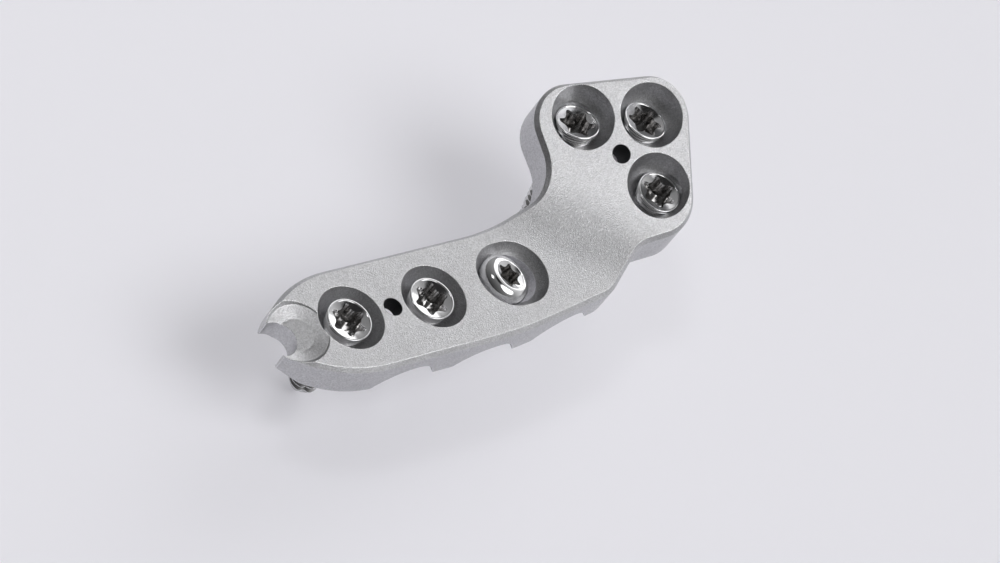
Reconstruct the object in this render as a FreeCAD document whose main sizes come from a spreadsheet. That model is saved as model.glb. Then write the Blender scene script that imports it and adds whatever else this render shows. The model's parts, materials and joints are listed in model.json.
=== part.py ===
import FreeCAD, Part
import math
import os
import re
import Sketcher

# A small left-hand locking plate with a head that bends up from its shaft, and the six screws that it holds.
# The frame stands on the wire hole of the shaft: X runs towards the head, Y across it towards the side
# that the head leans to, and Z out of the flat top face. Lengths in millimetres, angles in degrees.

SIZES = {
    # plate, seen from above
    "half_width": 6.6,
    "far_width": 6.05,
    "hole_pitch": 11.0,
    "nose_start": -4.0,
    "nose_radius": 16.2,
    "far_nose_start": -5.7,
    "far_nose_radius": 13.3,
    "tip_place": -15.1,
    "nose_rise": 1.5,
    "nose_run": 3.4,
    "notch_place": -14.4,
    "notch_radius": 2.05,
    "dish_place": -12.2,
    "dish_radius": 3.75,
    "dish_floor_radius": 3.35,
    "dish_wall": 0.45,
    "dish_depth": 0.9,
    "dish_lean": -7.0,
    "belly_place": 10.0,
    "belly_radius": 60.0,
    "neck_place": 25.9,
    "neck_inset": 1.65,
    "neck_radius": 5.0,
    "waist_place": 35.1,
    "waist_rise": 6.2,
    "waist_radius": 3.5,
    "heel_place": 37.9,
    "heel_offset": 3.9,
    "heel_radius": 4.4,
    "toe_inset": 0.2,
    "toe_radius": 4.6,
    "crown_place": 30.8,
    "crown_offset": 14.65,
    "crown_radius": 4.0,
    "throat_place": 26.85,
    "throat_rise": 1.5,
    "throat_radius": 4.75,
    "shoulder_place": 12.8,
    "shoulder_radius": 30.0,
    # plate, seen from the side
    "thickness": 3.5,
    "foot_drop": 0.7,
    "bevel": 0.45,
    "bend_start": 15.5,
    "bend_radius": 25.0,
    "bend_angle": 22.0,
    "bend_heading": 50.0,
    "hollow_half_width": 9.0,
    "relief_start": 0.9,
    "relief_run": 5.4,
    "relief_return": 2.9,
    "relief_height": 2.2,
    # round holes and their bowls
    "wire_radius": 1.065,
    "bowl_radius": 4.0,
    "shaft_rim": 3.85,
    "head_rim": 3.75,
    "head_wire_place": 35.3,
    "head_wire_offset": 9.35,
    "crown_hole_place": 32.4,
    "crown_hole_offset": 14.4,
    "crown_lean_x": -2.0,
    "crown_lean_y": 11.0,
    "crown_shift_x": -0.34,
    "crown_shift_y": -0.19,
    "toe_hole_place": 40.2,
    "toe_hole_offset": 12.15,
    "toe_lean_x": 3.0,
    "toe_lean_y": 3.0,
    "toe_shift_x": -0.45,
    "toe_shift_y": -0.29,
    "heel_hole_place": 38.3,
    "heel_hole_offset": 4.85,
    "heel_lean_x": -1.5,
    "heel_lean_y": -1.5,
    "heel_shift_x": 0.39,
    "heel_shift_y": -0.63,
    "shaft_seat": 0.4,
    "head_seat": 1.23,
    "cone_clearance": 0.02,
    "shank_clearance": 0.15,
    # long hole of the shaft
    "long_offset": 0.35,
    "long_rim": 4.0,
    "long_bowl_radius": 4.4,
    "long_travel": 0.45,
    "ball_travel": 0.5,
    "ball_seat": 1.3,
    "ball_clearance": 0.02,
    # locking screws
    "lock_radius": 2.6,
    "lock_foot_radius": 2.1,
    "lock_head": 2.6,
    "lock_edge": 0.08,
    "shank_radius": 1.75,
    "point_length": 1.8,
    "point_radius": 0.4,
    "short_length": 14.0,
    "middle_length": 16.0,
    "long_length": 18.0,
    # compression screw
    "ball_radius": 3.0,
    "ball_top": 1.1,
    "ball_rim": 2.3,
    "ball_neck": 1.9,
    "ball_lean_x": 14.0,
    "ball_lean_y": -2.0,
    # six-lobe driver recess
    "lobes": 6,
    "mouth_radius": 2.22,
    "mouth_depth": 0.4,
    "recess_outer": 1.92,
    "recess_inner": 1.4,
    "lobe_radius": 0.32,
    "recess_depth": 2.1,
    "crown_turn": 30.0,
    "toe_turn": 30.0,
    "heel_turn": 5.0,
    "near_turn": 0.0,
    "far_turn": 10.0,
    "long_turn": 0.0,
}

doc = FreeCAD.newDocument("BonePlate")
sheet = doc.addObject("Spreadsheet::Sheet", "Sizes")
for row, (alias, value) in enumerate(SIZES.items(), start=1):
    sheet.set("A%d" % row, alias)
    sheet.set("B%d" % row, str(value))
    sheet.setAlias("B%d" % row, alias)
doc.recompute()


def number(formula):
    # what a formula over the sheet's sizes comes to
    return float(sheet.evalExpression(str(formula)))


def linked(formula):
    # the same formula as another object of the document writes it
    return re.sub(r"\b[a-z_]+\b(?!\()", lambda word: "Sizes." + word.group(), str(formula))


def vector(x, y, z=0.0):
    return FreeCAD.Vector(x, y, z)


def frame(point, right, up):
    # a place whose X and Y run along two directions
    return FreeCAD.Placement(point, FreeCAD.Rotation(right, up, right.cross(up), "XYZ"))


def lathe_frame(point, axis):
    # a place whose Y runs along a turning axis
    return frame(point, vector(0, 1).cross(axis).normalize(), axis)


def new_body(name):
    body = doc.addObject("PartDesign::Body", name)
    body.Label = name
    return body


def new_sketch(body, name, place):
    sketch = body.newObject("Sketcher::SketchObject", name)
    planes = [feature for feature in body.Origin.OriginFeatures if feature.Role == "XY_Plane"]
    sketch.AttachmentSupport = (planes[0], [""])
    sketch.MapMode = "FlatFace"
    sketch.AttachmentOffset = place
    return sketch


def bind(sketch, kind, items, formula):
    # a dimension of a sketch that follows the sheet
    index = sketch.addConstraint(Sketcher.Constraint(kind, *items, number(formula)))
    sketch.setExpression("Constraints[%d]" % index, linked(formula))


def pin_point(sketch, item, end, x, y):
    bind(sketch, "DistanceX", (-1, 1, item, end), x)
    bind(sketch, "DistanceY", (-1, 1, item, end), y)


def arc_through(centre, start, finish, turn):
    # an arc from start to finish, anticlockwise when turn is 1
    first, last = (start, finish) if turn > 0 else (finish, start)
    reach = first.sub(centre)
    sweep = last.sub(centre)
    circle = Part.Circle(centre, vector(0, 0, 1), reach.Length)
    return Part.ArcOfCircle(circle, math.atan2(reach.y, reach.x), math.atan2(sweep.y, sweep.x))


def draw(sketch, corners):
    # A closed outline. Each corner is (x, y), or (x, y, centre x, centre y, turn) where an arc leaves it.
    points = [vector(number(corner[0]), number(corner[1])) for corner in corners]
    ends = []
    for corner, start, finish in zip(corners, points, points[1:] + points[:1]):
        if len(corner) == 2:
            item = sketch.addGeometry(Part.LineSegment(start, finish), False)
            ends.append((item, 1, 2))
            continue
        centre = vector(number(corner[2]), number(corner[3]))
        item = sketch.addGeometry(arc_through(centre, start, finish, corner[4]), False)
        ends.append((item, 1, 2) if corner[4] > 0 else (item, 2, 1))
    for corner, before, after in zip(corners, ends[-1:] + ends[:-1], ends):
        sketch.addConstraint(Sketcher.Constraint("Coincident", before[0], before[2], after[0], after[1]))
        pin_point(sketch, after[0], after[1], corner[0], corner[1])
    for corner, after, start, finish in zip(corners, ends, points, points[1:] + points[:1]):
        if len(corner) == 2:
            continue
        if abs(finish.x - start.x) > abs(finish.y - start.y):
            bind(sketch, "DistanceY", (-1, 1, after[0], 3), corner[3])
        else:
            bind(sketch, "DistanceX", (-1, 1, after[0], 3), corner[2])


def draw_circle(sketch, x, y, radius):
    item = sketch.addGeometry(Part.Circle(vector(number(x), number(y)), vector(0, 0, 1), number(radius)), False)
    pin_point(sketch, item, 3, x, y)
    bind(sketch, "Radius", (item,), radius)


def sweep_straight(body, kind, sketch, length, symmetric=True):
    feature = body.newObject("PartDesign::" + kind, sketch.Name + kind)
    feature.Profile = sketch
    feature.SideType = "Symmetric" if symmetric else "One side"
    feature.Length = number(length)
    feature.setExpression("Length", linked(length))
    doc.recompute()
    return feature


def sweep_round(body, kind, sketch):
    feature = body.newObject("PartDesign::" + kind, sketch.Name + kind)
    feature.Profile = sketch
    feature.ReferenceAxis = (sketch, ["V_Axis"])
    feature.Angle = 360
    doc.recompute()
    return feature


def turned_cut(body, name, point, axis, corners):
    sketch = new_sketch(body, name, lathe_frame(point, axis))
    draw(sketch, corners)
    return sweep_round(body, "Groove", sketch)


def straight_cut(body, name, place, corners, length):
    sketch = new_sketch(body, name, place)
    draw(sketch, corners)
    return sweep_straight(body, "Pocket", sketch, length)


def round_cut(body, name, place, x, y, radius, length):
    sketch = new_sketch(body, name, place)
    draw_circle(sketch, x, y, radius)
    return sweep_straight(body, "Pocket", sketch, length)


def leaning(lean_x, lean_y):
    # a direction that leaves Z by two small angles
    return vector(number("tan(%s)" % lean_x), number("tan(%s)" % lean_y), 1).normalize()


def sunken(rim, normal, depth, shift_x="0", shift_y="0"):
    # the middle of a screw's seat: below the middle of its bowl's rim, and a little aside
    return rim.sub(normal * number(depth)).add(vector(number(shift_x), number(shift_y)))


# the bend: it starts on a line across the plate and lifts the head towards its heading
RIGHT = vector(1, 0)
ACROSS = vector(0, 1)
UP = vector(0, 0, 1)
ORIGIN = vector(0, 0)
uphill = vector(number("cos(bend_heading)"), number("sin(bend_heading)"))
bend_end = number("bend_start + bend_radius * sin(bend_angle)")
bend_rise = number("bend_radius * (1 - cos(bend_angle))")
head_normal = uphill * -number("sin(bend_angle)") + UP * number("cos(bend_angle)")
head_slope = uphill * number("cos(bend_angle)") + UP * number("sin(bend_angle)")
REACH = "(2 * toe_hole_place)"
UNDER = "(thickness + foot_drop)"
TOUCH = 0.001


def on_top(point):
    # the plate's bent top face above a point of the plan
    run = point.x * uphill.x + point.y * uphill.y - number("bend_start")
    if run < 0:
        return vector(point.x, point.y)
    if run < bend_end - number("bend_start"):
        radius = number("bend_radius")
        return vector(point.x, point.y, radius - math.sqrt(radius ** 2 - run ** 2))
    slope = number("tan(bend_angle)")
    return vector(point.x, point.y, bend_rise + (run + number("bend_start") - bend_end) * slope)


def tangent_heading(first, second):
    # heading of the line that leaves one round corner and meets the next one smoothly
    gap = second[0].sub(first[0])
    return math.atan2(gap.y, gap.x) - math.asin((second[1] - first[1]) / gap.Length)


def rim_point(corner, heading_angle):
    # where a line with that heading touches the round corner
    return corner[0].sub(vector(-math.sin(heading_angle), math.cos(heading_angle)) * corner[1])


def draw_plan(sketch):
    # Round corners joined by their common tangents, anticlockwise from the near side of the nose.
    # Each is (place, offset, radius, turn), where turn is 1 for a bulge and -1 for a hollow.
    rounds = [
        ("nose_start", "nose_radius - half_width", "nose_radius", 1),
        ("belly_place", "belly_radius - half_width", "belly_radius", 1),
        ("neck_place", "neck_radius + neck_inset - half_width", "neck_radius", 1),
        ("waist_place", "waist_rise - half_width - waist_radius", "waist_radius", -1),
        ("heel_place", "heel_offset", "heel_radius", 1),
        ("toe_hole_place", "toe_hole_offset - toe_inset", "toe_radius", 1),
        ("crown_place", "crown_offset", "crown_radius", 1),
        ("throat_place - throat_radius", "far_width + throat_rise + throat_radius", "throat_radius", -1),
        ("shoulder_place", "far_width + shoulder_radius", "shoulder_radius", -1),
        ("far_nose_start", "far_width - far_nose_radius", "far_nose_radius", 1),
    ]
    corners = [(vector(number(x), number(y)), number(radius) * turn) for x, y, radius, turn in rounds]
    headings = [tangent_heading(first, second) for first, second in zip(corners, corners[1:])]
    near_fall = "nose_radius - sqrt(nose_radius ^ 2 - (nose_start - tip_place) ^ 2)"
    far_fall = "far_nose_radius - sqrt(far_nose_radius ^ 2 - (far_nose_start - tip_place) ^ 2)"
    near_tip = vector(number("tip_place"), number(near_fall + " - half_width"))
    far_tip = vector(number("tip_place"), -number(far_fall + " - far_width"))
    starts = [near_tip] + [rim_point(*pair) for pair in zip(corners[1:], headings)]
    finishes = [rim_point(*pair) for pair in zip(corners[:-1], headings)] + [far_tip]
    arcs = []
    for item, start, finish in zip(zip(corners, rounds), starts, finishes):
        centre, turn = item[0][0], item[1][3]
        arcs.append(sketch.addGeometry(arc_through(centre, start, finish, turn), False))
        pin_point(sketch, arcs[-1], 3, item[1][0], item[1][1])
        bind(sketch, "Radius", (arcs[-1],), item[1][2])
    for index in range(len(arcs) - 1):
        line = sketch.addGeometry(Part.LineSegment(finishes[index], starts[index + 1]), False)
        leaving = 2 if rounds[index][3] > 0 else 1
        meeting = 1 if rounds[index + 1][3] > 0 else 2
        sketch.addConstraint(Sketcher.Constraint("Tangent", arcs[index], leaving, line, 1))
        sketch.addConstraint(Sketcher.Constraint("Tangent", line, 2, arcs[index + 1], meeting))
    tip = sketch.addGeometry(Part.LineSegment(far_tip, near_tip), False)
    sketch.addConstraint(Sketcher.Constraint("Coincident", arcs[-1], 2, tip, 1))
    sketch.addConstraint(Sketcher.Constraint("Coincident", tip, 2, arcs[0], 1))
    sketch.addConstraint(Sketcher.Constraint("Vertical", tip))
    bind(sketch, "DistanceX", (-1, 1, tip, 1), "tip_place")


def bend_corners(drop, far_side):
    # The bent face seen along the bend: flat, then an arc, then the slope of the head.
    # The corners close over or under the plate, so that all on that side is cut away.
    radius = "(bend_radius + %s)" % drop
    turn_x = "(bend_start + %s * sin(bend_angle))" % radius
    turn_y = "(bend_radius - %s * cos(bend_angle))" % radius
    far_y = "%s + (%s - %s) * tan(bend_angle)" % (turn_y, REACH, turn_x)
    return [
        ("-" + REACH, "-" + drop),
        ("bend_start", "-" + drop, "bend_start", "bend_radius", 1),
        (turn_x, turn_y),
        (REACH, far_y),
        (REACH, far_side),
        ("-" + REACH, far_side),
    ]


def outer_top_edges(shape):
    # the edges of the top face that run along the plate's outline, without the two lines of the bend
    names = []
    for index, edge in enumerate(shape.Edges, start=1):
        ends = [vertex.Point for vertex in edge.Vertexes]
        middle = edge.valueAt(edge.getParameterByLength(edge.Length / 2))
        level = all(spot.distanceToPoint(on_top(spot)) < TOUCH for spot in ends + [middle])
        straight_over = abs(ends[-1].sub(ends[0]).dot(uphill)) < TOUCH and edge.Length > number("half_width")
        if level and not straight_over:
            names.append("Edge%d" % index)
    return names


def bowl(rim, radius):
    # a ball-shaped bowl that meets the face in a circle of the rim's radius
    centre = "sqrt(%s ^ 2 - %s ^ 2)" % (radius, rim)
    return [
        ("0", "%s - %s" % (centre, radius), "0", centre, 1),
        (rim, "0"),
        (rim, rim),
        ("0", rim),
    ]


# the tapered seat of a locking screw, carried on straight upwards, and the hole under it
TAPER = "((lock_radius - lock_foot_radius) / lock_head)"
LOCK_SEAT = [
    ("0", "-short_length"),
    ("shank_radius + shank_clearance", "-short_length"),
    ("shank_radius + shank_clearance", "-lock_head - lock_foot_radius + shank_radius"),
    ("lock_foot_radius + cone_clearance", "-lock_head"),
    ("lock_radius + cone_clearance", "0"),
    ("lock_radius + cone_clearance", "bowl_radius"),
    ("0", "bowl_radius"),
]

# name, rim centre, face normal, rim radius, seat, screw axis, screw length and turn of its recess
crown_rim = on_top(vector(number("crown_hole_place"), number("crown_hole_offset")))
toe_rim = on_top(vector(number("toe_hole_place"), number("toe_hole_offset")))
heel_rim = on_top(vector(number("heel_hole_place"), number("heel_hole_offset")))
near_rim = vector(number("hole_pitch / 2"), 0)
far_rim = vector(number("-hole_pitch / 2"), 0)
crown_seat = sunken(crown_rim, head_normal, "head_seat", "crown_shift_x", "crown_shift_y")
toe_seat = sunken(toe_rim, head_normal, "head_seat", "toe_shift_x", "toe_shift_y")
heel_seat = sunken(heel_rim, head_normal, "head_seat", "heel_shift_x", "heel_shift_y")
near_seat = sunken(near_rim, UP, "shaft_seat")
far_seat = sunken(far_rim, UP, "shaft_seat")
crown_axis = leaning("crown_lean_x", "crown_lean_y")
toe_axis = leaning("toe_lean_x", "toe_lean_y")
heel_axis = leaning("heel_lean_x", "heel_lean_y")
LOCK_HOLES = [
    ("head_screw_1", crown_rim, head_normal, "head_rim", crown_seat, crown_axis, "long_length", "crown_turn"),
    ("head_screw_2", toe_rim, head_normal, "head_rim", toe_seat, toe_axis, "long_length", "toe_turn"),
    ("head_screw_3", heel_rim, head_normal, "head_rim", heel_seat, heel_axis, "middle_length", "heel_turn"),
    ("shaft_screw_1", near_rim, UP, "shaft_rim", near_seat, UP, "short_length", "near_turn"),
    ("shaft_screw_2", far_rim, UP, "shaft_rim", far_seat, UP, "short_length", "far_turn"),
]

plate = new_body("bone_plate")
plan = new_sketch(plate, "Plan", frame(ORIGIN, RIGHT, ACROSS))
draw_plan(plan)
sweep_straight(plate, "Pad", plan, REACH)
along_bend = frame(ORIGIN, uphill, UP)
straight_cut(plate, "TopBend", along_bend, bend_corners("0", REACH), REACH)
blank = straight_cut(plate, "UnderBend", along_bend, bend_corners(UNDER, "-" + REACH), REACH)
rounding = plate.newObject("PartDesign::Chamfer", "TopBevel")
rounding.Base = (blank, outer_top_edges(blank.Shape))
rounding.setExpression("Size", linked("bevel"))
doc.recompute()

# underside: hollow along the shaft and along the head, so that only its edges carry
arch_radius = "((%s ^ 2 + foot_drop ^ 2) / (2 * foot_drop))"
shaft_arch = arch_radius % "half_width"
head_arch = arch_radius % "hollow_half_width"
round_cut(plate, "ShaftArch", frame(ORIGIN, ACROSS, UP), "0", "-thickness - " + shaft_arch, shaft_arch, REACH)
head_middle = on_top(vector(number("head_wire_place"), number("head_wire_offset")))
head_across = head_normal.cross(head_slope)
crown_frame = frame(crown_rim, head_across, head_normal)
round_cut(plate, "HeadArch", crown_frame, "0", "-thickness - " + head_arch, head_arch, REACH)

# underside: the plate is thinned between its holes, steep on one side and gentle on the other
crown_x = "(relief_start + relief_run - hole_pitch / 2)"
crown_y = "(relief_height - %s)" % UNDER
gentle = "((relief_run ^ 2 + relief_height ^ 2) / (2 * relief_height))"
steep = "((relief_return ^ 2 + relief_height ^ 2) / (2 * relief_height))"
relief_corners = [
    (crown_x + " + relief_return", "-" + UNDER, crown_x, "%s - %s" % (crown_y, steep), 1),
    (crown_x, crown_y, crown_x, "%s - %s" % (crown_y, gentle), 1),
    (crown_x + " - relief_run", "-" + UNDER),
    (crown_x + " - relief_run", "-%s - relief_height" % UNDER),
    (crown_x + " + relief_return", "-%s - relief_height" % UNDER),
]
relief = straight_cut(plate, "Relief", frame(ORIGIN, RIGHT, UP), relief_corners, REACH)
relief_row = plate.newObject("PartDesign::LinearPattern", "ReliefRow")
relief_row.Originals = [relief]
relief_row.Direction = (relief.Profile[0], ["H_Axis"])
relief_row.Mode = "Spacing"
relief_row.setExpression("Offset", linked("hole_pitch"))
relief_row.Occurrences = 3
plate.Tip = relief_row
doc.recompute()

# nose: lifted underside, the half-round notch at the tip and the dish round it
nose_corners = [
    ("tip_place - nose_run", "nose_rise - " + UNDER),
    ("tip_place - nose_run", "-2 * " + UNDER),
    ("tip_place + nose_run", "-2 * " + UNDER),
    ("tip_place + nose_run", "-" + UNDER),
    ("tip_place", "nose_rise - " + UNDER),
]
straight_cut(plate, "NoseLift", frame(ORIGIN, RIGHT, UP), nose_corners, REACH)
level = frame(ORIGIN, RIGHT, ACROSS)
round_cut(plate, "Notch", level, "notch_place", "0", "notch_radius", REACH)
dish_corners = [
    ("0", "-dish_depth"),
    ("dish_radius / 2", "-dish_depth"),
    ("dish_floor_radius", "-dish_wall"),
    ("dish_radius", "0"),
    ("dish_radius", "dish_depth"),
    ("0", "dish_depth"),
]
turned_cut(plate, "Dish", vector(number("dish_place"), 0), leaning("dish_lean", "0"), dish_corners)

# wire holes
round_cut(plate, "ShaftWireHole", level, "0", "0", "wire_radius", REACH)
head_level = frame(head_middle, head_slope, head_normal.cross(head_slope))
round_cut(plate, "HeadWireHole", head_level, "0", "0", "wire_radius", "2 * hollow_half_width")

# long hole: its bowl and the ball seat under it are both drawn out along the shaft
long_middle = "(1.5 * hole_pitch)"
long_height = "sqrt(long_bowl_radius ^ 2 - long_rim ^ 2)"
ball_radius = "(ball_radius + ball_clearance)"
ball_corners = [("0", "-" + ball_radius, "0", "0", 1), ("0", ball_radius)]
for name, travel, corners, height in (
    ("LongBowl", "long_travel", bowl("long_rim", "long_bowl_radius"), "0"),
    ("BallSeat", "ball_travel", ball_corners, "-ball_seat"),
):
    for end, sign in (("Near", "-"), ("Far", "+")):
        spot = vector(number(long_middle + sign + travel), number("long_offset"), number(height))
        turned_cut(plate, end + name, spot, UP, corners)
across_middle = frame(vector(number(long_middle), 0), ACROSS, UP)
round_cut(plate, "LongBowl", across_middle, "long_offset", long_height, "long_bowl_radius", "2 * long_travel")
round_cut(plate, "BallSeat", across_middle, "long_offset", "-ball_seat", ball_radius, "2 * ball_travel")
slot_radius = "(ball_neck + shank_clearance)"
ball_axis = leaning("ball_lean_x", "ball_lean_y")
near_end = long_middle + " - ball_travel"
far_end = long_middle + " + ball_travel"
ball_spot = vector(number(near_end), number("long_offset"), number("-ball_seat"))
slot_corners = [
    (near_end, "long_offset - " + slot_radius),
    (far_end, "long_offset - " + slot_radius, far_end, "long_offset", 1),
    (far_end, "long_offset + " + slot_radius),
    (near_end, "long_offset + " + slot_radius, near_end, "long_offset", 1),
]
straight_cut(plate, "LongSlot", frame(vector(0, 0, number("-" + UNDER)), RIGHT, ACROSS), slot_corners, UNDER)
shank_corners = [
    ("0", "-short_length"),
    (slot_radius, "-short_length"),
    (slot_radius, "0"),
    ("0", "0"),
]
turned_cut(plate, "LeaningShank", ball_spot, ball_axis, shank_corners)

for name, middle, normal, rim, seat, axis, length, turn in LOCK_HOLES:
    turned_cut(plate, "Bowl_" + name, middle, normal, bowl(rim, "bowl_radius"))
    turned_cut(plate, "Seat_" + name, seat, axis, LOCK_SEAT)


def cut_recess(body, top):
    # one of the recess's lobes, with half a flute on each side of it, repeated round the screw
    sketch = new_sketch(body, "Lobe", frame(vector(0, 0, number(top)), RIGHT, ACROSS))
    half_turn = math.pi / number("lobes")
    lobe = number("lobe_radius")
    inner = number("recess_inner")
    middle = number("recess_outer") - lobe
    flute = middle ** 2 + inner ** 2 - 2 * middle * inner * math.cos(half_turn) - lobe ** 2
    flute = flute / (2 * (lobe - inner + middle * math.cos(half_turn)))
    lobe_centre = vector(middle, 0)
    centres = [vector(math.cos(a), math.sin(a)) * (inner + flute) for a in (-half_turn, half_turn)]
    waists = [vector(math.cos(a), math.sin(a)) * inner for a in (-half_turn, half_turn)]
    joints = [lobe_centre.add(centre.sub(lobe_centre).normalize() * lobe) for centre in centres]
    first = sketch.addGeometry(Part.LineSegment(ORIGIN, waists[0]), False)
    near = sketch.addGeometry(arc_through(centres[0], joints[0], waists[0], 1), False)
    bulge = sketch.addGeometry(arc_through(lobe_centre, joints[0], joints[1], 1), False)
    far = sketch.addGeometry(arc_through(centres[1], waists[1], joints[1], 1), False)
    last = sketch.addGeometry(Part.LineSegment(waists[1], ORIGIN), False)
    sketch.addConstraint(Sketcher.Constraint("Coincident", first, 1, -1, 1))
    sketch.addConstraint(Sketcher.Constraint("Coincident", last, 2, -1, 1))
    sketch.addConstraint(Sketcher.Constraint("Coincident", first, 2, near, 2))
    sketch.addConstraint(Sketcher.Constraint("Coincident", last, 1, far, 1))
    sketch.addConstraint(Sketcher.Constraint("Tangent", near, 1, bulge, 1))
    sketch.addConstraint(Sketcher.Constraint("Tangent", bulge, 2, far, 2))
    sketch.addConstraint(Sketcher.Constraint("PointOnObject", near, 3, first))
    sketch.addConstraint(Sketcher.Constraint("PointOnObject", far, 3, last))
    sketch.addConstraint(Sketcher.Constraint("PointOnObject", bulge, 3, -1))
    bind(sketch, "DistanceX", (-1, 1, bulge, 3), "recess_outer - lobe_radius")
    bind(sketch, "Radius", (bulge,), "lobe_radius")
    waist_x = "recess_inner * cos(180 / lobes)"
    waist_y = "recess_inner * sin(180 / lobes)"
    pin_point(sketch, first, 2, waist_x, "-" + waist_y)
    pin_point(sketch, last, 1, waist_x, waist_y)
    cut = sweep_straight(body, "Pocket", sketch, "recess_depth", symmetric=False)
    ring = body.newObject("PartDesign::PolarPattern", "Recess")
    ring.Originals = [cut]
    ring.Axis = (sketch, ["N_Axis"])
    ring.Angle = 360
    ring.setExpression("Occurrences", linked("lobes"))
    body.Tip = ring
    doc.recompute()


def mouth(top):
    # the flared mouth of the recess, from the screw's axis out to the face round it
    return [
        ("0", top + " - mouth_depth"),
        ("mouth_radius - mouth_depth", top + " - mouth_depth"),
        ("mouth_radius", top),
    ]


def shank(top, length, neck):
    # the shank from a neck's depth down to its point
    return [
        ("shank_radius", neck),
        ("shank_radius", "%s - %s + point_length" % (top, length)),
        ("point_radius", "%s - %s" % (top, length)),
        ("0", "%s - %s" % (top, length)),
    ]


def make_screw(name, point, axis, turn, corners, top):
    body = new_body(name)
    sketch = new_sketch(body, "Profile", lathe_frame(ORIGIN, UP))
    draw(sketch, corners)
    sweep_round(body, "Revolution", sketch)
    cut_recess(body, top)
    lean = FreeCAD.Rotation(UP, axis)
    body.Placement = FreeCAD.Placement(point, lean.multiply(FreeCAD.Rotation(UP, number(turn))))
    return body


# screws: each sits where its hole is cut, on the hole's own axis
screws = []
for name, middle, normal, rim, seat, axis, length, turn in LOCK_HOLES:
    lock_corners = mouth("0") + [
        ("lock_radius - lock_edge", "0"),
        ("lock_radius - lock_edge * " + TAPER, "-lock_edge"),
        ("lock_foot_radius", "-lock_head"),
    ] + shank("0", length, "-lock_head - lock_foot_radius + shank_radius")
    screws.append(make_screw(name, seat, axis, turn, lock_corners, "0"))
crown_centre = "(ball_radius ^ 2 - ball_rim ^ 2 - ball_top ^ 2) / (2 * (ball_radius - ball_rim))"
neck_depth = "-sqrt(ball_radius ^ 2 - ball_neck ^ 2)"
ball_profile = mouth("ball_top")[:-1] + [
    ("mouth_radius", "ball_top"),
    ("ball_rim", "ball_top", crown_centre, "0", -1),
    ("ball_radius", "0", "0", "0", -1),
    ("ball_neck", neck_depth),
] + shank("ball_top", "short_length", neck_depth + " - ball_neck + shank_radius")
screws.append(make_screw("compression_screw", ball_spot, ball_axis, "long_turn", ball_profile, "ball_top"))
doc.recompute()

for item in doc.Objects:
    if "Invalid" in item.State or "Error" in item.State:
        raise RuntimeError("%s did not build" % item.Name)
for body in [plate] + screws:
    if body.Shape.isNull() or not body.Shape.isValid() or len(body.Shape.Solids) != 1:
        raise RuntimeError("%s is not one sound solid" % body.Label)
os.makedirs("parts", exist_ok=True)
for body in [plate] + screws:
    body.Shape.exportStep("parts/%s.step" % body.Label)
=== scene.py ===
import json
import math
import bpy
import numpy as np
from mathutils import Matrix, Vector


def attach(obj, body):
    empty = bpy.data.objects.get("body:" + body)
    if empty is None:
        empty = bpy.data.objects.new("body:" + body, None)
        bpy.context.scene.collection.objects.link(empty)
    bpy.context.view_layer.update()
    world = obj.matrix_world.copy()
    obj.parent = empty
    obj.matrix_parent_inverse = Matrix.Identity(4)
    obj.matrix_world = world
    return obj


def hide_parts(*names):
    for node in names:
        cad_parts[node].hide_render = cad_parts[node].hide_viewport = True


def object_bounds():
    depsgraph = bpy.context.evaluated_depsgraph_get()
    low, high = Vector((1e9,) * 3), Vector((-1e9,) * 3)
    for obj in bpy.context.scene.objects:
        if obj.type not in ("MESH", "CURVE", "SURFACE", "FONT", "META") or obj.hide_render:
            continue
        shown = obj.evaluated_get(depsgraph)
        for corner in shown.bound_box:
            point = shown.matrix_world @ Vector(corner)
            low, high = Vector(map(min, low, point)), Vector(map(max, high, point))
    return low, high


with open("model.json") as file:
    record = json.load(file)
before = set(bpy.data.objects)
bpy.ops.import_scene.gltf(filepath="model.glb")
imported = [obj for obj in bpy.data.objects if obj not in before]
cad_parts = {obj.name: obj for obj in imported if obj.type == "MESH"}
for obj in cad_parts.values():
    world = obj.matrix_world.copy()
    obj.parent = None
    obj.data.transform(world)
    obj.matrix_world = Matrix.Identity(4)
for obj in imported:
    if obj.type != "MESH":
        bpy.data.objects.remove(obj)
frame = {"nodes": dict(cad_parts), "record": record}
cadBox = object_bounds()

# a contoured steel bone plate and its six screws; one Blender unit is a metre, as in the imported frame
mm = 0.001
mounts = {mount["name"]: mount for mount in frame["record"]["mounts"]}


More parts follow.
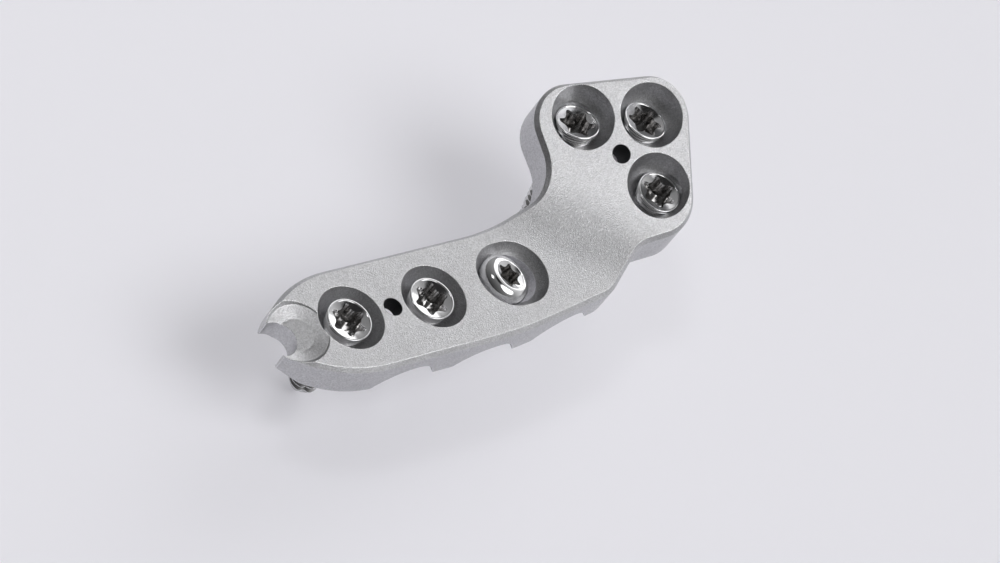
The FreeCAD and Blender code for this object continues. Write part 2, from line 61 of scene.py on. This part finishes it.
class Nodes:
    # a short hand for one node tree
    def __init__(self, tree):
        self.tree = tree

    def add(self, kind, links=None, **settings):
        node = self.tree.nodes.new(kind)
        for name, value in settings.items():
            setattr(node, name, value)
        for name, value in (links or {}).items():
            self.feed(node.inputs[name], value)
        return node

    def feed(self, socket, value):
        # a link where the value is another socket, else the socket's own value
        if isinstance(value, bpy.types.NodeSocket):
            self.tree.links.new(value, socket)
        else:
            socket.default_value = value

    def math(self, operation, first, second=0.0):
        node = self.add("ShaderNodeMath", operation=operation)
        self.feed(node.inputs[0], first)
        self.feed(node.inputs[1], second)
        return node.outputs[0]

    def vector(self, operation, first, second=(0, 0, 0), output="Vector"):
        node = self.add("ShaderNodeVectorMath", operation=operation)
        self.feed(node.inputs[0], first)
        self.feed(node.inputs[1], second)
        return node.outputs[output]

    def span(self, value, low, high):
        # 0 at low, 1 at high, held at both ends
        node = self.add("ShaderNodeMapRange", {"Value": value, "From Min": low, "From Max": high}, clamp=True)
        return node.outputs["Result"]

    def ramp(self, value, stops):
        # greys at their places along the value
        node = self.add("ShaderNodeValToRGB", {"Fac": value})
        points = node.color_ramp.elements
        while len(points) < len(stops):
            points.new(0.5)
        for point, (place, shade) in zip(points, stops):
            point.position = place
            point.color = (shade, shade, shade, 1)
        return node.outputs["Color"]

    def mix(self, share, first, second):
        node = self.add("ShaderNodeMix", data_type="RGBA")
        self.feed(node.inputs["Factor"], share)
        self.feed(node.inputs["A"], first)
        self.feed(node.inputs["B"], second)
        return node.outputs["Result"]


def newGroup(name, inputs, outputs):
    tree = bpy.data.node_groups.new(name, "ShaderNodeTree")
    for label, kind, value in inputs:
        socket = tree.interface.new_socket(label, in_out="INPUT", socket_type=kind)
        socket.default_value = value
    for label, kind in outputs:
        tree.interface.new_socket(label, in_out="OUTPUT", socket_type=kind)
    nodes = Nodes(tree)
    return tree, nodes, nodes.add("NodeGroupInput"), nodes.add("NodeGroupOutput")


def newMaterial(name):
    material = bpy.data.materials.new(name)
    material.use_nodes = True
    nodes = Nodes(material.node_tree)
    return material, nodes, material.node_tree.nodes["Principled BSDF"]


def makeBlastedGrain():
    # pits of a bead-blasted skin: fine noise and round cells, a tone for each cell, and a slow cloud
    inputs = [("Scale", "NodeSocketFloat", 7000.0), ("Cloud", "NodeSocketFloat", 250.0)]
    outputs = [("Height", "NodeSocketFloat"), ("Speck", "NodeSocketFloat"), ("Patch", "NodeSocketFloat")]
    tree, nodes, given, result = newGroup("blastedGrain", inputs, outputs)
    place = nodes.add("ShaderNodeTexCoord").outputs["Object"]
    fine = nodes.add("ShaderNodeTexNoise", {"Vector": place, "Scale": given.outputs["Scale"], "Detail": 3.0})
    cells = nodes.add("ShaderNodeTexVoronoi", {"Vector": place, "Scale": given.outputs["Scale"]})
    slow = nodes.add("ShaderNodeTexNoise", {"Vector": place, "Scale": given.outputs["Cloud"], "Detail": 4.0})
    pits = nodes.math("MULTIPLY", cells.outputs["Distance"], 0.7)
    speck = nodes.vector("DOT_PRODUCT", cells.outputs["Color"], (1, 0, 0), "Value")
    nodes.feed(result.inputs["Height"], nodes.math("ADD", fine.outputs["Fac"], pits))
    nodes.feed(result.inputs["Speck"], speck)
    nodes.feed(result.inputs["Patch"], slow.outputs["Fac"])
    return tree


def makeEdgeWearAndHighlight():
    # 1 on a rounded edge, 0 on a flat: how far the rounded normal leaves the true one; it places the edges'
    #                                   wear and their painted highlight
    inputs = [("Radius", "NodeSocketFloat", 0.00012)]
    outputs = [("WearAndHighlight", "NodeSocketFloat"), ("Normal", "NodeSocketVector")]
    tree, nodes, given, result = newGroup("edgeWear", inputs, outputs)
    soft = nodes.add("ShaderNodeBevel", {"Radius": given.outputs["Radius"]}, samples=6).outputs["Normal"]
    true = nodes.add("ShaderNodeNewGeometry").outputs["Normal"]
    apart = nodes.math("SUBTRACT", 1.0, nodes.vector("DOT_PRODUCT", soft, true, "Value"))
    nodes.feed(result.inputs["WearAndHighlight"], nodes.ramp(apart, [(0.004, 0.0), (0.06, 1.0)]))
    nodes.feed(result.inputs["Normal"], soft)
    return tree


def useGroup(nodes, tree, **values):
    node = nodes.add("ShaderNodeGroup", node_tree=tree)
    for name, value in values.items():
        nodes.feed(node.inputs[name], value)
    return node.outputs


plateLook = {
    "dark": (0.45, 0.45, 0.465, 1),     # the two tones that the slow cloud mixes
    "pale": (0.58, 0.58, 0.59, 1),
    "edge": (0.76, 0.76, 0.77, 1),      # rubbed edges, paler partly from wear and partly as a painted highlight
    "paintedBoreShade": (0.02, 0.02, 0.022, 1),     # painted shade, near black, on the walls of the wire holes
    "roughness": 0.34,
    "roughSpread": 0.12,                # how far the cloud moves the roughness
    "edgeShine": 0.08,                  # edges are smoother by this
    "boreRough": 0.3,                   # and the wire holes rougher by this
    "grain": 8500.0,                    # cells in a metre
    "grainTone": 0.34,                  # contrast from cell to cell
    "grainDepth": 0.00003,
    "edgeRadius": 0.00012,
    "boreRadius": 0.00112,
}


def boreShade(nodes):
    # 1 on the walls of the two wire holes, where the painted shade goes, from the distance to each hole's own
    # line
    place = nodes.add("ShaderNodeTexCoord").outputs["Object"]
    reach = plateLook["boreRadius"]
    shade = 0.0
    for name in ("k_wire_hole_shaft", "k_wire_hole_head"):
        away = nodes.vector("SUBTRACT", place, tuple(mounts[name]["pos_m"]))
        across = nodes.vector("CROSS_PRODUCT", away, tuple(mounts[name]["axis"]))
        inside = nodes.span(nodes.vector("LENGTH", across, output="Value"), reach, reach * 0.97)
        shade = nodes.math("MAXIMUM", inside, shade)
    return shade


def makePlateSteel(grain, wearAndHighlightGroup):
    # blasted steel: speckled, paler on the edges from wear and a painted highlight, and dark inside the wire
    # holes with painted shade
    material, nodes, shader = newMaterial("plateSteel")
    look = plateLook
    spots = useGroup(nodes, grain, Scale=look["grain"])
    rim = useGroup(nodes, wearAndHighlightGroup, Radius=look["edgeRadius"])
    paintedBoreShade = boreShade(nodes)
    fleck = nodes.math("MULTIPLY", spots["Speck"], look["grainTone"])
    fleck = nodes.math("ADD", fleck, 1 - look["grainTone"] / 2)
    tone = nodes.mix(spots["Patch"], look["dark"], look["pale"])
    tone = nodes.vector("MULTIPLY", tone, fleck)
    # edges paler, partly from wear and partly as a painted highlight
    tone = nodes.mix(rim["WearAndHighlight"], tone, look["edge"])
    # painted shade, near black, on the walls of the wire holes
    tone = nodes.mix(paintedBoreShade, tone, look["paintedBoreShade"])
    rough = nodes.math("MULTIPLY", spots["Patch"], look["roughSpread"])
    rough = nodes.math("ADD", rough, look["roughness"] - look["roughSpread"] / 2)
    rough = nodes.math("SUBTRACT", rough, nodes.math("MULTIPLY", rim["WearAndHighlight"], look["edgeShine"]))
    rough = nodes.math("ADD", rough, nodes.math("MULTIPLY", paintedBoreShade, look["boreRough"]))
    bump = nodes.add("ShaderNodeBump", {"Height": spots["Height"], "Normal": rim["Normal"],
                                        "Strength": 1.0, "Distance": look["grainDepth"]})
    shader.inputs["Metallic"].default_value = 1.0
    nodes.feed(shader.inputs["Base Color"], tone)
    nodes.feed(shader.inputs["Roughness"], rough)
    nodes.feed(shader.inputs["Normal"], bump.outputs["Normal"])
    return material


screwLook = {
    "dark": (0.54, 0.54, 0.55, 1),      # the two tones that the slow cloud mixes
    "pale": (0.70, 0.70, 0.71, 1),
    "paintedDeepShade": (0.34, 0.33, 0.32, 1),      # painted shade in the recesses and thread roots
    "roughness": 0.09,
    "roughSpread": 0.08,
    "deepRough": 0.10,                  # recesses and roots are rougher by this
    "grain": 14000.0,
    "cloud": 700.0,
    "grainDepth": 0.000003,
    "grainStrength": 0.25,
}


def makeScrewSteel(grain):
    # polished, with a faint grain, and darkened by painted shade where the mesh says that it lies deep
    material, nodes, shader = newMaterial("screwSteel")
    look = screwLook
    spots = useGroup(nodes, grain, Scale=look["grain"], Cloud=look["cloud"])
    paintedDeepShade = nodes.add("ShaderNodeAttribute", attribute_name="paintedShade").outputs["Fac"]
    tone = nodes.mix(spots["Patch"], look["dark"], look["pale"])
    # painted shade in the recesses and thread roots
    tone = nodes.mix(paintedDeepShade, tone, look["paintedDeepShade"])
    rough = nodes.math("MULTIPLY", spots["Patch"], look["roughSpread"])
    rough = nodes.math("ADD", rough, look["roughness"] - look["roughSpread"] / 2)
    rough = nodes.math("ADD", rough, nodes.math("MULTIPLY", paintedDeepShade, look["deepRough"]))
    bump = nodes.add("ShaderNodeBump", {"Height": spots["Height"], "Strength": look["grainStrength"],
                                        "Distance": look["grainDepth"]})
    shader.inputs["Metallic"].default_value = 1.0
    nodes.feed(shader.inputs["Base Color"], tone)
    nodes.feed(shader.inputs["Roughness"], rough)
    nodes.feed(shader.inputs["Normal"], bump.outputs["Normal"])
    return material


grain = makeBlastedGrain()
plateSteel = makePlateSteel(grain, makeEdgeWearAndHighlight())
screwSteel = makeScrewSteel(grain)
print("finishes made")

plateNode = frame["nodes"]["bone_plate"]
plateNode.data.materials.clear()
plateNode.data.materials.append(plateSteel)


# lengths in millimetres; heights run down from the screw's own zero, the plane of its rim
lockScrew = {
    "radius": 2.6, "foot": 2.1, "head": 2.6,        # the tapered head: rim, foot and height
    "headPitch": 0.42, "headDepth": 0.16, "headStarts": 2, "headSharp": 1.3,    # its fine thread
    "rootShade": 0.6,                               # how much painted shade the thread's root gets
    "land": 0.03,                                   # the head's own rim stands in by this
    "shank": 1.75, "core": 1.42, "pitch": 0.8,
    "top": 0.0, "face": 0.0,                        # how high the face stands, and its dome
    "outer": 2.06, "inner": 1.48, "lobe": 0.35, "depth": 2.4,                       # the recess
    "mouth": 2.42, "lip": 2.36, "throat": 1.45, "wall": 0.06, "throatDrop": 0.30,   # its flared mouth
}
ballScrew = {
    "ball": 3.0, "rim": 2.3, "foot": 1.9,           # the ball, its flat rim and its neck
    "shank": 1.75, "core": 1.22, "pitch": 1.25,
    "top": 1.1, "face": 0.1,
    "outer": 1.56, "inner": 1.13, "lobe": 0.26, "depth": 1.9,
    "mouth": 1.80, "lip": 1.76, "throat": 1.13, "wall": 0.04, "throatDrop": 0.21,
}
recess = {
    "lobes": 6,
    # the floor and wall of the star: shares of its radius, and heights over the drilled depth
    "floorShare": [0.15, 0.4, 0.65, 0.8, 0.93, 0.985, 1.0, 1.0, 1.0, 1.0],
    "floorRise": [-0.12, -0.09, -0.05, -0.02, 0, 0.02, 0.07, 0.5, 0.9, 1.2],
    # shares of the way from the star out to the lip, and from the lip up to the face
    "mouthSteps": [0.0, 0.04, 0.18, 0.34, 0.5, 0.66, 0.8, 0.92, 1.0],
    "wallSteps": [0.12, 0.5, 0.88, 1.0],
    "mouthCurve": 1.1,                              # 1 is a plain cone, more is hollow
    "shadeStart": 0.02, "shadeDepth": 0.25,         # where the painted shade starts, and over what depth it deepens
    "floorShade": 0.03,                             # the floor itself gets no painted shade below this height
}
shankForm = {
    "step": 0.05,                                   # height between rows
    "pointRadius": 0.4, "pointLength": 1.8, "pointCurve": 0.75,
    "runOut": 0.9,                                  # the thread fades in over this length
    "rootShade": 0.5,
    "flutes": 3, "fluteTurn": 0.4, "fluteLength": 4.2, "fluteDepth": 0.45,
}
rows = {"around": 96, "gap": 0.01, "headStep": 0.02, "headStart": 0.12, "sharpAngle": 38}


def starRadius(screw, angle):
    # radius of the recess: small arcs that bulge out at the lobes, joined by large ones that bulge in
    half = math.pi / recess["lobes"]
    local = np.abs((angle + half) % (2 * half) - half)
    lobe, inner = screw["lobe"], screw["inner"]
    middle = screw["outer"] - lobe
    flute = middle ** 2 + inner ** 2 - 2 * middle * inner * math.cos(half) - lobe ** 2
    flute = flute / (2 * (lobe - inner + middle * math.cos(half)))
    centre = inner + flute
    outward = middle * np.cos(local) + np.sqrt(np.maximum(lobe ** 2 - (middle * np.sin(local)) ** 2, 0))
    turned = half - local
    inward = centre * np.cos(turned) - np.sqrt(np.maximum(flute ** 2 - (centre * np.sin(turned)) ** 2, 0))
    share = lobe / (flute + lobe)
    touch = math.atan2(share * centre * math.sin(half), middle + share * (centre * math.cos(half) - middle))
    return np.where(local < touch, outward, inward)


def thread(phase, sharp=1.25):
    # 1 on the crest of a thread and 0 in its root: a saw of the share of a turn, cut off at both ends
    return np.clip(sharp * np.abs(2 * (phase % 1) - 1) - (sharp - 1) / 2, 0, 1)


def allRound(line, angles):
    # one value for each row, the same at every angle
    return np.repeat(np.asarray(line, float)[:, None], len(angles), axis=1)


def revolve(name, layers, angles):
    # a closed skin: radius, height and painted shade given for every row and angle, with a pole at each end
    radius, height, paintedShade = layers
    count, turns = radius.shape
    points = np.stack([radius * np.cos(angles), radius * np.sin(angles), height], axis=-1).reshape(-1, 3)
    points = np.vstack([points, [[0, 0, height[0].mean()]], [[0, 0, height[-1].mean()]]])
    row, column = np.meshgrid(np.arange(count - 1), np.arange(turns), indexing="ij")
    after = (column + 1) % turns
    here, there = row * turns, (row + 1) * turns
    quads = np.stack([here + column, here + after, there + after, there + column], axis=-1).reshape(-1, 4)
    ring = np.arange(turns)
    beyond = (ring + 1) % turns
    last = (count - 1) * turns
    first = np.stack([np.full(turns, count * turns), beyond, ring], axis=-1)
    final = np.stack([np.full(turns, count * turns + 1), last + ring, last + beyond], axis=-1)
    mesh = bpy.data.meshes.new(name)
    mesh.from_pydata((points * mm).tolist(), [], quads.tolist() + first.tolist() + final.tolist())
    paintedShade = np.append(paintedShade.ravel(), [paintedShade[0, 0], paintedShade[-1, 0]]).astype(np.float32)
    mesh.attributes.new("paintedShade", "FLOAT", "POINT").data.foreach_set("value", paintedShade)
    return mesh


def recessRows(screw, angles):
    # from the drilled floor up the lobed wall, then over a mouth that rises outwards to its lip
    star = starRadius(screw, angles)
    floor = -screw["depth"]
    radius = np.array(recess["floorShare"])[:, None] * star
    height = allRound(floor + np.array(recess["floorRise"]), angles)
    # the mouth's height is a power of the way from throat to lip,
    # so that each column meets the star at its own height
    drop, wall, lip = screw["throatDrop"], screw["wall"], screw["lip"]
    cone = star + (lip - star) * np.array(recess["mouthSteps"])[:, None]
    way = np.clip((cone - screw["throat"]) / (lip - screw["throat"]), 0, 1)
    coneHeight = -drop + (drop - wall) * way ** recess["mouthCurve"]
    climb = allRound(recess["wallSteps"], angles)
    radius = np.vstack([radius, cone, lip + (screw["mouth"] - lip) * climb])
    height = np.vstack([height, coneHeight, -wall * (1 - climb)])
    # painted shade: it grows down the mouth and the star's wall, and stops on the floor of the star
    paintedShade = np.clip((-drop - recess["shadeStart"] - height) / recess["shadeDepth"], 0, 1)
    paintedShade = paintedShade * (height > floor + recess["floorShade"])
    return radius, height + screw["top"] + screw["face"], paintedShade


def shankRows(start, neck, length, screw, angles):
    # the neck, then the threaded shank: its crest less the thread's root, less the flutes at its point
    form = shankForm
    bottom = screw["top"] - length
    level = np.concatenate([[start], np.arange(neck, bottom, -form["step"]), [bottom]])
    fall = np.clip((level - bottom) / form["pointLength"], 0, 1) ** form["pointCurve"]
    crest = form["pointRadius"] + (screw["shank"] - form["pointRadius"]) * fall
    crest[0] = screw["foot"]
    run = np.clip((neck - level) / form["runOut"], 0, 1)
    depth = (crest - np.minimum(screw["core"], crest)) * run
    turn = angles / (2 * math.pi)
    root = 1 - thread(level[:, None] / screw["pitch"] - turn)
    flute = np.clip(1 - (level - bottom) / form["fluteLength"], 0, 1) ** 0.5
    flute = form["fluteDepth"] * flute * np.clip(crest / screw["shank"], 0, 1)
    groove = np.clip(np.cos(form["flutes"] * angles + form["fluteTurn"]), 0, 1) ** 3
    radius = crest[:, None] - depth[:, None] * root - flute[:, None] * groove
    # the thread's roots get painted shade, faded in with the thread
    return radius, allRound(level, angles), form["rootShade"] * root * run[:, None]


def ringRows(outline, angles):
    # plain turned rows from an outline of radius and height
    radius, height = (allRound(line, angles) for line in np.array(outline).T)
    return radius, height, np.zeros_like(radius)


def lockRows(length, angles):
    # a narrow face, the tapered head with its double-start thread, and the shank
    head = lockScrew
    bottom = -head["head"]
    rim = head["radius"] - head["land"]
    top = ringRows([(head["mouth"] + 0.03, 0), (rim - 0.06, 0), (rim - 0.03, -0.01), (rim, -0.04),
                    (rim, -0.10)], angles)
    level = np.arange(-rows["headStart"], bottom - 0.001, -rows["headStep"])
    cone = head["radius"] + (head["foot"] - head["radius"]) * level / bottom
    run = np.clip((-0.14 - level) / 0.1, 0, 1) * np.clip((level - bottom) / 0.2, 0, 1)
    turn = head["headStarts"] * angles / (2 * math.pi)
    root = run[:, None] * (1 - thread(level[:, None] / head["headPitch"] - turn, head["headSharp"]))
    # the roots of the head's thread get painted shade
    flank = (cone[:, None] - head["headDepth"] * root, allRound(level, angles), head["rootShade"] * root)
    neck = bottom - head["foot"] + head["shank"]
    return [top, flank, shankRows(bottom - rows["gap"], neck, length, head, angles)]


def ballRows(length, angles):
    # a gently domed face that rolls over into the ball, its neck and the shank
    head = ballScrew
    ball, rim, top = head["ball"], head["rim"], head["top"]
    centre = (ball ** 2 - rim ** 2 - top ** 2) / (2 * (ball - rim))
    upper = ball - centre
    lift = np.linspace(math.asin(top / upper), 0, 14)
    drop = np.linspace(0.05, math.acos(head["foot"] / ball), 20)
    across = np.linspace(head["mouth"] + 0.03, rim - 0.05, 6)
    rise = head["face"] * np.sqrt(np.clip((rim - across) / (rim - head["mouth"] - 0.03), 0, 1))
    face = np.stack([across, top + rise], axis=-1)
    shoulder = np.stack([centre + upper * np.cos(lift), upper * np.sin(lift)], axis=-1)
    under = np.stack([ball * np.cos(drop), -ball * np.sin(drop)], axis=-1)
    low = under[-1, 1]
    neck = low - head["foot"] + head["shank"]
    turned = ringRows(np.vstack([face, shoulder, under]), angles)
    return [turned, shankRows(low - rows["gap"], neck, length, head, angles)]


def standOn(mesh, mount, turn, top):
    # turns a screw made upright onto its own axis, by the mouth of its recess
    axis = Vector(mount["axis"]).normalized()
    lean = Vector((0, 0, 1)).rotation_difference(axis).to_matrix().to_4x4()
    foot = Matrix.Translation(Vector(mount["pos_m"]) - axis * top * mm)
    mesh.transform(foot @ lean @ Matrix.Rotation(math.radians(turn), 4, "Z"))


screws = {
    "head_screw_1": {"length": 18, "turn": 30},
    "head_screw_2": {"length": 18, "turn": 30},
    "head_screw_3": {"length": 16, "turn": 5},
    "shaft_screw_1": {"length": 14, "turn": 0},
    "shaft_screw_2": {"length": 14, "turn": 10},
    "compression_screw": {"length": 14, "turn": 0},
}


def makeScrew(node, length, turn):
    angles = np.linspace(0, 2 * math.pi, rows["around"], endpoint=False)
    isBall = node == "compression_screw"
    screw = ballScrew if isBall else lockScrew
    parts = [recessRows(screw, angles)] + (ballRows if isBall else lockRows)(length, angles)
    mesh = revolve(node + "_threaded", [np.vstack(layer) for layer in zip(*parts)], angles)
    standOn(mesh, mounts[node + "_recess"], turn, screw["top"])
    mesh.shade_smooth()
    mesh.set_sharp_from_angle(angle=math.radians(rows["sharpAngle"]))
    mesh.materials.append(screwSteel)
    piece = bpy.data.objects.new(node + "_threaded", mesh)
    bpy.context.scene.collection.objects.link(piece)
    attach(piece, "root")
    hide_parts(node)


for node, facts in screws.items():
    makeScrew(node, facts["length"], facts["turn"])
print("screws made")

studio = {
    "floorDrop": 0.0002,                    # the floor lies this far under the lowest point
    "floorReach": 3.0,
    "floorGlow": 0.45,                      # the part of the paper's tone that is its own
    "background": (0.625, 0.62, 0.655, 1),
    "cameraPlace": (-0.2436, -0.1377, 0.3141),
    "cameraRight": (0.774, -0.461, 0.434),
    "cameraUp": (0.198, 0.828, 0.525),
    "lens": 144.0,
    "lampPlace": (-0.16, 0.20, 0.55),
    "lampAim": (0.015, 0.004, 0.0),
    "lampSize": 0.10,
    "lampPower": 0.35,
}
# soft boxes of the studio as patches of the sky, each laid over the ones before it:
# direction, half-width and edge in degrees, and how bright
softBoxes = {
    "overHead": {"towards": (0.30, -0.45, 0.84), "spread": 20, "soft": 3, "glow": 3.8},
    "behind": {"towards": (0.60, 0.46, 0.65), "spread": 12, "soft": 3, "glow": 1.5},
    "lowRight": {"towards": (0.84, 0.42, 0.28), "spread": 19, "soft": 3, "glow": 2.6},
    "darkCloth": {"towards": (0.34, 0.10, 0.935), "spread": 17, "soft": 2, "glow": 0.03},
}
room = [(0.0, 0.05), (0.15, 0.11), (0.5, 0.25), (0.8, 0.42), (0.95, 0.85)]     # the sky's grey along X


def makeFloor():
    # pale paper; part of its tone is its own, so that it stays pale and its shadow soft
    low = cadBox[0].z - studio["floorDrop"]
    reach = studio["floorReach"]
    corners = [(-reach, -reach, low), (reach, -reach, low), (reach, reach, low), (-reach, reach, low)]
    mesh = bpy.data.meshes.new("floor")
    mesh.from_pydata(corners, [], [(0, 1, 2, 3)])
    material, nodes, shader = newMaterial("floorPaper")
    path = nodes.add("ShaderNodeLightPath")
    seen = nodes.math("MAXIMUM", path.outputs["Is Camera Ray"], path.outputs["Is Glossy Ray"])
    seen = nodes.math("MAXIMUM", seen, path.outputs["Is Transmission Ray"])
    shader.inputs["Base Color"].default_value = studio["background"]
    shader.inputs["Roughness"].default_value = 0.9
    shader.inputs["Specular IOR Level"].default_value = 0.1
    shader.inputs["Emission Color"].default_value = studio["background"]
    nodes.feed(shader.inputs["Emission Strength"], nodes.math("MULTIPLY", seen, studio["floorGlow"]))
    mesh.materials.append(material)
    floor = bpy.data.objects.new("floor", mesh)
    bpy.context.scene.collection.objects.link(floor)


def makeWorld():
    # pale behind the object as the camera sees it; a room that is darker on its left, with the soft boxes
    world = bpy.data.worlds.new("studio")
    bpy.context.scene.world = world
    world.use_nodes = True
    nodes = Nodes(world.node_tree)
    back = world.node_tree.nodes["Background"]
    way = nodes.add("ShaderNodeTexCoord").outputs["Generated"]
    light = nodes.ramp(nodes.span(nodes.vector("DOT_PRODUCT", way, (1, 0, 0), "Value"), -1, 1), room)
    for box in softBoxes.values():
        near = nodes.vector("DOT_PRODUCT", way, tuple(Vector(box["towards"]).normalized()), "Value")
        outer, inner = (math.cos(math.radians(box["spread"] + side * box["soft"])) for side in (1, -1))
        light = nodes.mix(nodes.span(near, outer, inner), light, (box["glow"],) * 3 + (1,))
    path = nodes.add("ShaderNodeLightPath")
    nodes.feed(back.inputs["Color"], nodes.mix(path.outputs["Is Camera Ray"], light, studio["background"]))
    back.inputs["Strength"].default_value = 1.0


def makeLamp():
    # one square soft lamp from the upper left, which gives the floor its shadow
    lamp = bpy.data.lights.new("key", "AREA")
    lamp.shape = "RECTANGLE"
    lamp.size = lamp.size_y = studio["lampSize"]
    lamp.energy = studio["lampPower"]
    stand = bpy.data.objects.new("key", lamp)
    stand.location = studio["lampPlace"]
    aim = Vector(studio["lampAim"]) - stand.location
    stand.rotation_euler = aim.to_track_quat("-Z", "Y").to_euler()
    bpy.context.scene.collection.objects.link(stand)


def makeCamera():
    right = Vector(studio["cameraRight"]).normalized()
    back = right.cross(Vector(studio["cameraUp"])).normalized()
    turn = Matrix((right, back.cross(right), back)).transposed()
    camera = bpy.data.cameras.new("camera")
    camera.lens = studio["lens"]
    camera.sensor_width = 36.0
    camera.clip_start = 0.01
    stand = bpy.data.objects.new("camera", camera)
    stand.matrix_world = Matrix.Translation(Vector(studio["cameraPlace"])) @ turn.to_4x4()
    bpy.context.scene.collection.objects.link(stand)
    bpy.context.scene.camera = stand


makeFloor()
makeWorld()
makeLamp()
makeCamera()
bpy.context.scene.view_settings.view_transform = "Standard"
print("studio set")
